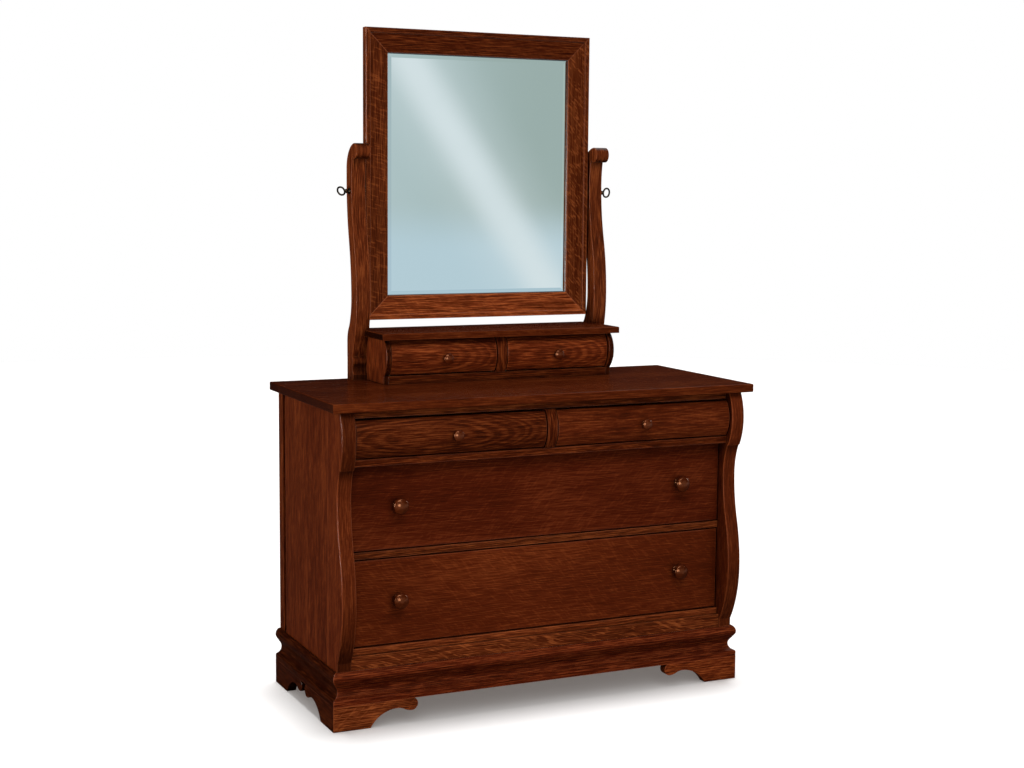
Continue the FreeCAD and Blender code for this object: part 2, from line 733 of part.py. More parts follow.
# Bevelled plate glass, whose bevel lies against the lip, and the board that holds it in the rabbet
def make_glass():
    wall = mirror_member - mirror_rabbet
    margin = wall + glass_gap
    hidden = mirror_rabbet - glass_gap
    bevel = glass_bevel + hidden
    slope = (glass_thickness - glass_edge) / bevel
    x, z0, z1 = x_mirror - margin, z_mirror + margin, z_mirror_top - margin
    y_rim = y_mirror + mirror_band_step + mirror_lip + slope * hidden
    y_field = y_rim - slope * bevel
    y_board = y_rim + glass_edge
    rim = outline("xz", (-x, z0), [[(x, z0)], [(x, z1)], [(-x, z1)]], y_rim)
    xf, zf0, zf1 = x - bevel, z0 + bevel, z1 - bevel
    field = outline("xz", (-xf, zf0), [[(xf, zf0)], [(xf, zf1)], [(-xf, zf1)]], y_field)
    plate = box(-x, x, y_rim, y_board, z0, z1).fuse(Part.makeLoft([rim, field], True, True))
    add("mirror_glass", plate.removeSplitter().Solids[0])
    xb, zb0, zb1 = x_mirror - wall, z_mirror + wall, z_mirror_top - wall
    add("mirror_backing", box(-xb, xb, y_board, y_board + backing_thickness, zb0, zb1))


# Flanged bush let into each stile: the flange fills the gap to the post, less a running gap
def make_bushes():
    x_flange = running_gap - x_deck
    x_end = bush_depth - x_mirror
    body = pivot_rod(bush_radius, -x_mirror, x_end).fuse(pivot_rod(bush_flange_radius, x_flange, -x_mirror))
    bush = body.cut(pivot_rod(bore_radius, x_flange, x_end)).removeSplitter().Solids[0]
    add("pivot_bushes", bush, mirrored(bush))


# Oval ring of round wire in the XZ plane, four arcs long, centred on the origin
def oval_ring():
    a = ring_height / 2
    b = ring_length / 2
    r = ring_end_radius
    large = (b * b + (a - r) ** 2 - r * r) / (2 * (b - r))
    span = V(large - b, 0, a - r)
    span.normalize()
    joint = V(span.x * r, 0, a - r + span.z * r)
    corners = [V(joint.x, 0, -joint.z), joint, V(-joint.x, 0, joint.z), V(-joint.x, 0, -joint.z)]
    middles = [V(b, 0, 0), V(0, 0, a), V(-b, 0, 0), V(0, 0, -a)]
    arcs = [Part.Arc(corners[i], middles[i], corners[(i + 1) % 4]).toShape() for i in range(4)]
    start = arcs[0].Vertexes[0].Point
    heading = arcs[0].tangentAt(arcs[0].FirstParameter)
    section = Part.Wire(Part.makeCircle(ring_wire_radius, start, heading))
    return Part.Wire(arcs).makePipeShell([section], True, False)


# Ring screw: shank through the post into the bush, rosette on the post, neck, ball and ring
def make_ring_screws():
    x_face = x_mirror_post + running_gap
    x_neck = x_face + rosette_thickness
    x_ball = x_neck + screw_neck_length
    x_ring = x_ball + screw_ball_radius + ring_length / 2
    shank = pivot_rod(screw_radius, x_mirror - screw_depth, x_face)
    rosette = pivot_rod(rosette_radius, x_face, x_neck)
    neck = pivot_rod(screw_neck_radius, x_neck, x_ball)
    ball = Part.makeSphere(screw_ball_radius, V(x_ball, y_pivot, z_pivot))
    stem = shank.multiFuse([rosette, neck, ball])
    for name, turn in (("left", ring_turn_left), ("right", ring_turn_right)):
        ring = oval_ring()
        ring.translate(V(x_ring, y_pivot, z_pivot))
        ring.rotate(V(0, y_pivot, z_pivot), V(-1, 0, 0), turn)
        screw = stem.fuse(ring).removeSplitter().Solids[0]
        add("ring_screw_" + name, mirrored(screw) if name == "left" else screw)


make_slab()
make_feet()
make_moulding()
make_posts()
make_sides()
make_rails()
make_runners()
make_wide_drawers()
make_top_drawers()
make_deck()
make_deck_drawers()
make_mirror_posts()
make_mirror_frame()
make_glass()
make_bushes()
make_ring_screws()

os.makedirs("parts", exist_ok=True)
for node, shape in nodes.items():
    shape.exportStep("parts/" + node + ".step")
    print(node, "solids", len(shape.Solids), "valid", shape.isValid(), "volume", round(shape.Volume))
print("nodes", len(nodes))
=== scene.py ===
import json
import math
import bmesh
import bpy
from mathutils import Matrix, Vector

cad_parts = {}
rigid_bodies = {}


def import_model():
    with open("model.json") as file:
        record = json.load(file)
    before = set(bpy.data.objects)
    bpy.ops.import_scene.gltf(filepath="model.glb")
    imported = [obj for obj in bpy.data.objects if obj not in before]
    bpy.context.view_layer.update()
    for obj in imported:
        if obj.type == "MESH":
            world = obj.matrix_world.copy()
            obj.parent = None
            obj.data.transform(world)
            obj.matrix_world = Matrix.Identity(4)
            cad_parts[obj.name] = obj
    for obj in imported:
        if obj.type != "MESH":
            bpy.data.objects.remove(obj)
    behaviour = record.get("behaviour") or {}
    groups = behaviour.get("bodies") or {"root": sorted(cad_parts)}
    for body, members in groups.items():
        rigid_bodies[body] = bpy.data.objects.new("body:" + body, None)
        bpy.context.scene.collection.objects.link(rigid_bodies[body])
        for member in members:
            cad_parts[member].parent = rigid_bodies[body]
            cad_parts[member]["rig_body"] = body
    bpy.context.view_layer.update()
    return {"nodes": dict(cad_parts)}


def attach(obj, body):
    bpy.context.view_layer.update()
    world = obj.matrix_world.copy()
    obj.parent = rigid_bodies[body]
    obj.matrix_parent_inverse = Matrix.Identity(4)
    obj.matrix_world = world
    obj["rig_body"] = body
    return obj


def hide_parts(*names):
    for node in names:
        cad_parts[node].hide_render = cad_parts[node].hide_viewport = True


# Sleigh dresser in stained oak with a drawer deck and a tilting mirror, metres, same frame as the solids

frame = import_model()
nodes = frame["nodes"]
scene = bpy.context.scene
scene.view_settings.view_transform = "Standard"
print("frame loaded,", len(nodes), "nodes")


# small helpers for node trees
def addNode(tree, kind, **values):
    node = tree.nodes.new(kind)
    for name, value in values.items():
        setattr(node, name, value)
    return node


def feed(tree, socket, value):
    if isinstance(value, bpy.types.NodeSocket):
        tree.links.new(value, socket)
    else:
        socket.default_value = value


def calc(tree, operation, *values, clamp=False):
    node = addNode(tree, "ShaderNodeMath", operation=operation, use_clamp=clamp)
    for socket, value in zip(node.inputs, values):
        feed(tree, socket, value)
    return node.outputs[0]


def vecCalc(tree, operation, *values, out=0):
    node = addNode(tree, "ShaderNodeVectorMath", operation=operation)
    for socket, value in zip(node.inputs, values):
        feed(tree, socket, value)
    return node.outputs[out]


def scaled(tree, vector, share):
    node = addNode(tree, "ShaderNodeVectorMath", operation="SCALE")
    feed(tree, node.inputs[0], vector)
    feed(tree, node.inputs["Scale"], share)
    return node.outputs[0]


def joinXyz(tree, x, y, z):
    node = addNode(tree, "ShaderNodeCombineXYZ")
    for socket, value in zip(node.inputs, (x, y, z)):
        feed(tree, socket, value)
    return node.outputs[0]


def splitXyz(tree, vector):
    node = addNode(tree, "ShaderNodeSeparateXYZ")
    feed(tree, node.inputs[0], vector)
    return node.outputs


def splitColour(tree, colour):
    node = addNode(tree, "ShaderNodeSeparateColor")
    feed(tree, node.inputs[0], colour)
    return node.outputs


def ramp(tree, value, low, high, start=0.0, end=1.0, smooth=True):
    node = addNode(tree, "ShaderNodeMapRange")
    node.interpolation_type = "SMOOTHSTEP" if smooth else "LINEAR"
    for socket, entry in zip(node.inputs, (value, low, high, start, end)):
        feed(tree, socket, entry)
    return node.outputs[0]


def noise(tree, vector, scale=1.0, detail=2.0, roughness=0.5, out="Fac"):
    node = addNode(tree, "ShaderNodeTexNoise")
    feed(tree, node.inputs["Vector"], vector)
    for name, value in (("Scale", scale), ("Detail", detail), ("Roughness", roughness)):
        feed(tree, node.inputs[name], value)
    return node.outputs[out]


# one random draw for each whole number
def drawLot(tree, value):
    node = addNode(tree, "ShaderNodeTexWhiteNoise", noise_dimensions="1D")
    feed(tree, node.inputs["W"], calc(tree, "FLOOR", value))
    return node.outputs


def mixColour(tree, factor, a, b):
    node = addNode(tree, "ShaderNodeMix", data_type="RGBA")
    for index, value in ((0, factor), (6, a), (7, b)):
        feed(tree, node.inputs[index], value)
    return node.outputs[2]


def opaque(colour):
    return (*colour, 1.0)


def newGroup(name, inputs, outputs):
    tree = bpy.data.node_groups.new(name, "ShaderNodeTree")
    for label, kind, value in inputs:
        socket = tree.interface.new_socket(label, in_out="INPUT", socket_type=kind)
        socket.default_value = value
    for label, kind in outputs:
        tree.interface.new_socket(label, in_out="OUTPUT", socket_type=kind)
    return tree, addNode(tree, "NodeGroupInput"), addNode(tree, "NodeGroupOutput")


def newMaterial(name):
    material = bpy.data.materials.new(name)
    material.use_nodes = True
    tree = material.node_tree
    return material, tree, tree.nodes["Principled BSDF"]


def addRelief(tree, shader, height, strength, distance):
    relief = addNode(tree, "ShaderNodeBump")
    relief.inputs["Strength"].default_value = strength
    relief.inputs["Distance"].default_value = distance
    feed(tree, relief.inputs["Height"], height)
    feed(tree, shader.inputs["Normal"], relief.outputs[0])


# figure of the oak: detail is per metre across and along the grain, a Cut is where a mask starts and ends,
# and a pair in Tone or Gloss is a gain and an offset
grain = dict(
    wander=(25.0, 25.0, 5.5), lean=0.3,        # slow bends of the trunk, and the fibres' share of them
    staveJump=5.0, staveTone=0.32,             # how far glued boards differ in place and in tone
    uneven=0.37, ringMid=0.40, ringSpread=(0.45, 1.25), lateCut=(0.25, 0.60), lateEndCut=(1.0, 0.80),
    fibre=(430.0, 17.0), fibreTone=(2.6, -1.34), fibreGloss=(0.10, -0.05), fibreHeight=0.25,
    thread=(420.0, 24.0), threadCut=(0.58, 0.74), threadTone=0.35,
    streak=(110.0, 1.8), streakTone=(1.8, -0.9), cloud=(9.0, 3.0), cloudTone=(0.5, -0.25),
    pore=(700.0, 20.0), poreCut=(0.56, 0.68), poreShade=0.75, poreGloss=0.35, poreHeight=-1.4,
    earlyCut=(0.5, 0.05), earlyPores=(0.7, 0.3),
    flake=150.0, flakeCut=(0.53, 0.66), endCut=(0.55, 0.9),
)


# boards glued side by side each get their own place in the log
def placeInLog(tree, pin):
    u, v, w = splitXyz(tree, pin["Vector"])
    lot = drawLot(tree, calc(tree, "DIVIDE", v, pin["Stave Width"]))
    shifts = [calc(tree, "MULTIPLY", calc(tree, "SUBTRACT", part, 0.5), pin["Stave Shift"])
              for part in splitColour(tree, lot["Color"])]
    place = joinXyz(tree, calc(tree, "ADD", u, shifts[0]), calc(tree, "ADD", v, shifts[1]),
                    calc(tree, "MULTIPLY_ADD", shifts[2], grain["staveJump"], w))
    return place, calc(tree, "MULTIPLY", shifts[2], grain["staveTone"])


# the trunk bends one way from a given place on, and wanders a little along its length
def bendTrunk(tree, pin, place):
    u, v, w = splitXyz(tree, place)
    past = calc(tree, "SUBTRACT", w, pin["Sweep At"])
    u = calc(tree, "MULTIPLY_ADD", calc(tree, "MULTIPLY", past, past), pin["Sweep"], u)
    swept = joinXyz(tree, u, v, w)
    slow = noise(tree, vecCalc(tree, "MULTIPLY", swept, grain["wander"]), out="Color")
    drift = scaled(tree, vecCalc(tree, "SUBTRACT", slow, (0.5, 0.5, 0.5)), pin["Warp"])
    return vecCalc(tree, "ADD", swept, drift), drift


# yearly rings: a dark porous start, then denser wood
def yearRings(tree, pin, radius):
    year = calc(tree, "DIVIDE", radius, pin["Ring Width"])
    year = calc(tree, "ADD", year, noise(tree, calc(tree, "MULTIPLY", year, grain["uneven"]), detail=1.0))
    phase = calc(tree, "FRACT", year)
    late = calc(tree, "MULTIPLY", ramp(tree, phase, *grain["lateCut"]),
                ramp(tree, phase, *grain["lateEndCut"]))
    strength = ramp(tree, drawLot(tree, year)["Value"], 0.0, 1.0, *grain["ringSpread"], smooth=False)
    return phase, calc(tree, "MULTIPLY", calc(tree, "SUBTRACT", late, grain["ringMid"]), strength)


# rays stand out as flakes where the face runs towards the heart
def rayFlakes(tree, pin, a, b, along, radius):
    turn = calc(tree, "MULTIPLY", calc(tree, "ARCTAN2", b, a), grain["flake"])
    inward, slope, lengthwise = splitXyz(tree, pin["Ray"])
    slant = calc(tree, "SUBTRACT", calc(tree, "MULTIPLY", radius, inward),
                 calc(tree, "MULTIPLY", along, slope))
    sheet = joinXyz(tree, turn, calc(tree, "MULTIPLY", along, lengthwise), slant)
    return calc(tree, "MULTIPLY", ramp(tree, noise(tree, sheet), *grain["flakeCut"]), pin["Fleck"])


# oak cut from a log whose heart runs along Z at the origin of the vector it is given
def makeOakFigure():
    number, colour, vector = "NodeSocketFloat", "NodeSocketColor", "NodeSocketVector"
    grey = (0.5, 0.5, 0.5, 1.0)
    tree, given, out = newGroup("oakFigure", (
        ("Vector", vector, (0.0, 0.0, 0.0)),
        ("End Grain", number, 0.0),
        ("End Shade", number, 0.42),
        ("Ring Width", number, 0.004),
        ("Warp", number, 0.010),
        ("Sweep", number, 0.0),
        ("Sweep At", number, 0.0),
        ("Stave Width", number, 9.0),
        ("Stave Shift", number, 0.0),
        ("Ring Contrast", number, 0.5),
        ("Fibre", number, 1.0),
        ("Streak", number, 0.5),
        ("Fleck", number, 0.2),
        ("Ray", vector, (120.0, 120.0, 30.0)),
        ("Pore", number, 0.5),
        ("Deep", colour, grey),
        ("Mid", colour, grey),
        ("Bright", colour, grey),
        ("Gloss", number, 0.34),
    ), (("Color", colour), ("Roughness", number), ("Height", number)))
    pin = given.outputs
    place, staveTone = placeInLog(tree, pin)
    bent, drift = bendTrunk(tree, pin, place)
    a, b, along = splitXyz(tree, bent)
    radius = calc(tree, "SQRT", calc(tree, "MULTIPLY_ADD", a, a, calc(tree, "MULTIPLY", b, b)))
    phase, ringTone = yearRings(tree, pin, radius)

    # fibres, broad streaks and pores run straighter than the rings
    strand = vecCalc(tree, "ADD", place, scaled(tree, drift, grain["lean"]))

    def alongGrain(label, detail, roughness=0.5):
        across, lengthwise = grain[label]
        stretched = vecCalc(tree, "MULTIPLY", strand, (across, across, lengthwise))
        return noise(tree, stretched, 1.0, detail, roughness)

    fibre = alongGrain("fibre", 3.0, 0.62)
    thread = ramp(tree, alongGrain("thread", 1.0), *grain["threadCut"])
    early = calc(tree, "MULTIPLY_ADD", ramp(tree, phase, *grain["earlyCut"]), *grain["earlyPores"])
    pore = calc(tree, "MULTIPLY", ramp(tree, alongGrain("pore", 1.0), *grain["poreCut"]), early)
    pore = calc(tree, "MULTIPLY", pore, pin["Pore"])

    # all of it adds up to one tone, from deep through mid to bright
    tone = calc(tree, "MULTIPLY_ADD", ringTone, pin["Ring Contrast"], 0.5)
    strands = calc(tree, "MULTIPLY_ADD", thread, grain["threadTone"],
                   calc(tree, "MULTIPLY_ADD", fibre, *grain["fibreTone"]))
    tone = calc(tree, "MULTIPLY_ADD", strands, pin["Fibre"], tone)
    streaks = calc(tree, "MULTIPLY_ADD", alongGrain("streak", 3.0, 0.6), *grain["streakTone"])
    tone = calc(tree, "MULTIPLY_ADD", streaks, pin["Streak"], tone)
    clouds = calc(tree, "MULTIPLY_ADD", alongGrain("cloud", 2.0), *grain["cloudTone"])
    tone = calc(tree, "ADD", tone, calc(tree, "ADD", staveTone, clouds))
    tone = calc(tree, "ADD", tone, rayFlakes(tree, pin, a, b, along, radius))
    low = mixColour(tree, calc(tree, "MULTIPLY", tone, 2.0, clamp=True), pin["Deep"], pin["Mid"])
    body = mixColour(tree, calc(tree, "MULTIPLY_ADD", tone, 2.0, -1.0, clamp=True), low, pin["Bright"])
    shade = calc(tree, "MULTIPLY_ADD", pore, -grain["poreShade"], 1.0)
    endGrain = ramp(tree, pin["End Grain"], *grain["endCut"], 1.0, pin["End Shade"])
    feed(tree, out.inputs["Color"], scaled(tree, body, calc(tree, "MULTIPLY", shade, endGrain)))

    rough = calc(tree, "MULTIPLY_ADD", pore, grain["poreGloss"], pin["Gloss"])
    rough = calc(tree, "ADD", rough, calc(tree, "MULTIPLY_ADD", fibre, *grain["fibreGloss"]))
    feed(tree, out.inputs["Roughness"], rough)
    high = calc(tree, "MULTIPLY_ADD", fibre, grain["fibreHeight"],
                calc(tree, "MULTIPLY", pore, grain["poreHeight"]))
    feed(tree, out.inputs["Height"], high)
    return tree


# mask that is 1 along edges, where hands and cloths rub the finish; on the wood it also carries a painted
# highlight
edgeBand = dict(width=0.003, flat=0.995, sharp=0.86, samples=4)


def makeEdgeRub():
    tree, given, out = newGroup("edgeMask", (("Width", "NodeSocketFloat", edgeBand["width"]),),
                                (("Mask", "NodeSocketFloat"),))
    soft = addNode(tree, "ShaderNodeBevel", samples=edgeBand["samples"])
    feed(tree, soft.inputs["Radius"], given.outputs["Width"])
    face = addNode(tree, "ShaderNodeNewGeometry")
    facing = vecCalc(tree, "DOT_PRODUCT", soft.outputs[0], face.outputs["Normal"], out="Value")
    feed(tree, out.inputs["Mask"], ramp(tree, facing, edgeBand["flat"], edgeBand["sharp"]))
    return tree


# mask that is 1 in corners and gaps, used to paint shade there
paintedCornerShade = dict(reach=0.022, depth=0.25, open=0.85, samples=4)


def makeCrevice():
    tree, given, out = newGroup("crevice", (("Reach", "NodeSocketFloat", paintedCornerShade["reach"]),
                                            ("Depth", "NodeSocketFloat", paintedCornerShade["depth"])),
                                (("Mask", "NodeSocketFloat"),))
    room = addNode(tree, "ShaderNodeAmbientOcclusion", samples=paintedCornerShade["samples"])
    feed(tree, room.inputs["Distance"], given.outputs["Reach"])
    feed(tree, out.inputs["Mask"], ramp(tree, room.outputs["AO"], paintedCornerShade["open"], given.outputs["Depth"]))
    return tree


oakFigure = makeOakFigure()
edgeMask = makeEdgeRub()
crevice = makeCrevice()

# how a board lies: mapping turn in degrees and the axis its grain runs along
lies = {
    "upright": ((0, 0, 0), (0, 0, 1)),           # across the grain: x, y
    "uprightFace": ((0, 0, 90), (0, 0, 1)),      # across the grain: -y, x
    "across": ((0, 90, 0), (1, 0, 0)),           # across the grain: z, y
    "acrossFace": ((0, 90, 90), (1, 0, 0)),      # across the grain: -y, z
    "deep": ((90, 0, 0), (0, 1, 0)),             # across the grain: x, -z
}

# finishes, each with the colour of deep, mid and bright wood
stain = dict(deep=(0.0240, 0.0042, 0.0011), mid=(0.0740, 0.0108, 0.0026), bright=(0.210, 0.0450, 0.0105))
cherry = dict(deep=(0.0240, 0.0038, 0.0011), mid=(0.0740, 0.0096, 0.0026), bright=(0.205, 0.0400, 0.0105))
brown = dict(deep=(0.0210, 0.0042, 0.0011), mid=(0.0650, 0.0112, 0.0028), bright=(0.185, 0.0440, 0.0110))
amber = dict(deep=(0.0290, 0.0048, 0.0014), mid=(0.0800, 0.0132, 0.0034), bright=(0.185, 0.0390, 0.0100))
turned = dict(deep=(0.0300, 0.0046, 0.0010), mid=(0.0600, 0.0092, 0.0018), bright=(0.110, 0.0220, 0.0050))
clear = dict(deep=(0.330, 0.200, 0.100), mid=(0.500, 0.340, 0.190), bright=(0.640, 0.470, 0.300))


# same finish, paler or darker
def toned(finish, share):
    return {label: [part * share for part in colour] for label, colour in finish.items()}


# painted light and shade that change with height, from pairs of height and tone
def paintLightByHeight(tree, spot, lightByHeight):
    steps = addNode(tree, "ShaderNodeValToRGB")
    feed(tree, steps.inputs[0], splitXyz(tree, spot)[2])
    stops = steps.color_ramp.elements
    stops[0].position, stops[1].position = lightByHeight[0][0], lightByHeight[-1][0]
    for height, _ in lightByHeight[1:-1]:
        stops.new(height)
    for stop, (_, tone) in zip(stops, lightByHeight):
        stop.color = (tone, tone, tone, 1.0)
    return splitColour(tree, steps.outputs[0])[0]


boardLook = dict(
    sidewaysCut=(0.6, 0.8), shapedDepth=0.15,    # a shaped front keeps this share of its depth in the figure
    forwardCut=(-0.3, -0.6),                     # faces that look this far forward count as the front
    edgeGain=1.25, coatRoughness=0.22, reliefDepth=0.0006,
)


# front is a second colour for faces that look forward, and the pairs of height and tone paint light and
# shade on those faces
# shaped lets the grain follow a shaped front
def oakBoard(name, lie, heart, tilt=(0.0, 0.0), sweep=(0.0, 0.0), ring=0.004, warp=0.010, staves=9.0,
             staveShift=0.0, rings=0.3, fibre=1.0, streak=0.12, fleck=0.10, ray=(120.0, 120.0, 30.0),
             pore=0.55, tone=1.0, gloss=0.34, finish=stain, front=None, lightByHeight=(), shaped=False,
             specular=0.03, wearAndHighlight=0.5, shine=0.9, paintedShade=0.6, reach=0.022, depth=0.25, endShade=0.42,
             tint=(1.0, 0.50, 0.25), bump=0.35):
    material, tree, shader = newMaterial(name)
    where = addNode(tree, "ShaderNodeTexCoord").outputs
    facing = splitXyz(tree, where["Normal"])
    spot = where["Object"]
    if shaped:
        x, y, z = splitXyz(tree, spot)
        follow = ramp(tree, calc(tree, "ABSOLUTE", facing[0]), *boardLook["sidewaysCut"],
                      boardLook["shapedDepth"], 1.0)
        spot = joinXyz(tree, x, calc(tree, "MULTIPLY", y, follow), z)
    turn, axis = lies[lie]
    place = addNode(tree, "ShaderNodeMapping")
    feed(tree, place.inputs["Vector"], spot)
    place.inputs["Rotation"].default_value = [math.radians(angle + extra)
                                              for angle, extra in zip(turn, (*tilt, 0.0))]
    place.inputs["Location"].default_value = (-heart[0], -heart[1], 0.0)
    end = calc(tree, "ABSOLUTE", vecCalc(tree, "DOT_PRODUCT", where["Normal"], axis, out="Value"))

    figure = addNode(tree, "ShaderNodeGroup", node_tree=oakFigure)
    feed(tree, figure.inputs["Vector"], place.outputs[0])
    feed(tree, figure.inputs["End Grain"], end)
    for label, value in (("Ring Width", ring), ("Warp", warp), ("Sweep", sweep[0]), ("Sweep At", sweep[1]),
                         ("Stave Width", staves), ("Stave Shift", staveShift), ("Ring Contrast", rings),
                         ("End Shade", endShade), ("Fibre", fibre), ("Streak", streak), ("Fleck", fleck),
                         ("Ray", ray), ("Pore", pore), ("Gloss", gloss)):
        figure.inputs[label].default_value = value
    wood = toned(finish, tone)
    ahead = ramp(tree, facing[1], *boardLook["forwardCut"]) if front else None
    for label, colour in wood.items():
        shade = opaque(colour)
        if front:
            shade = mixColour(tree, ahead, shade, opaque(toned(front, tone)[label]))
        feed(tree, figure.inputs[label.title()], shade)

    # edges paled, partly as wear and partly as a painted highlight, and painted shade in corners and gaps
    nearEdge = addNode(tree, "ShaderNodeGroup", node_tree=edgeMask).outputs["Mask"]
    rubbed = mixColour(tree, calc(tree, "MULTIPLY", nearEdge, wearAndHighlight), figure.outputs["Color"],
                       opaque(part * boardLook["edgeGain"] for part in wood["bright"]))
    corner = addNode(tree, "ShaderNodeGroup", node_tree=crevice)
    corner.inputs["Reach"].default_value = reach
    corner.inputs["Depth"].default_value = depth
    share = calc(tree, "MULTIPLY_ADD", corner.outputs["Mask"], -paintedShade, 1.0)
    if lightByHeight:
        swing = calc(tree, "SUBTRACT", paintLightByHeight(tree, where["Object"], lightByHeight), 1.0)
        share = calc(tree, "MULTIPLY", share, calc(tree, "MULTIPLY_ADD", swing, ahead, 1.0))
    feed(tree, shader.inputs["Base Color"], scaled(tree, rubbed, share))
    feed(tree, shader.inputs["Roughness"], figure.outputs["Roughness"])
    feed(tree, shader.inputs["Coat Weight"], calc(tree, "MULTIPLY", nearEdge, shine))
    shader.inputs["Coat Roughness"].default_value = boardLook["coatRoughness"]
    addRelief(tree, shader, figure.outputs["Height"], bump, boardLook["reliefDepth"])
    shader.inputs["Specular IOR Level"].default_value = specular
    shader.inputs["Specular Tint"].default_value = opaque(tint)
    return material


# what boards of one kind share
flatTop = dict(lie="across", rings=0.1, pore=0.15, wearAndHighlight=0.35, shine=0.1, bump=0.04)
sidePanel = dict(lie="upright", staveShift=0.30, rings=0.15, fibre=0.75, streak=0.45, tone=0.88)
sleighPost = dict(lie="upright", rings=0.0, fibre=0.6, wearAndHighlight=0.9, front=amber, shaped=True, paintedShade=0.7,
                  reach=0.10, depth=0.35)
wideFront = dict(lie="acrossFace", rings=0.15, fibre=0.42, streak=0.08, paintedShade=0.8, reach=0.13, depth=0.35)
bowedFront = dict(lie="acrossFace", warp=0.006, specular=0.06, paintedShade=0.7, reach=0.03, depth=0.4)
mirrorPost = dict(lie="upright", ring=0.0028, warp=0.005, rings=0.12, fibre=0.8, wearAndHighlight=0.8, shaped=True,
                  finish=brown, gloss=0.28, paintedShade=0.9, reach=0.08, depth=0.38)
mirrorStile = dict(lie="upright", heart=(0.95, 0.22), wearAndHighlight=0.95, finish=brown)
maple = dict(lie="deep", fibre=0.5, streak=0.3, fleck=0.05, finish=clear, specular=0.3, wearAndHighlight=0.2)

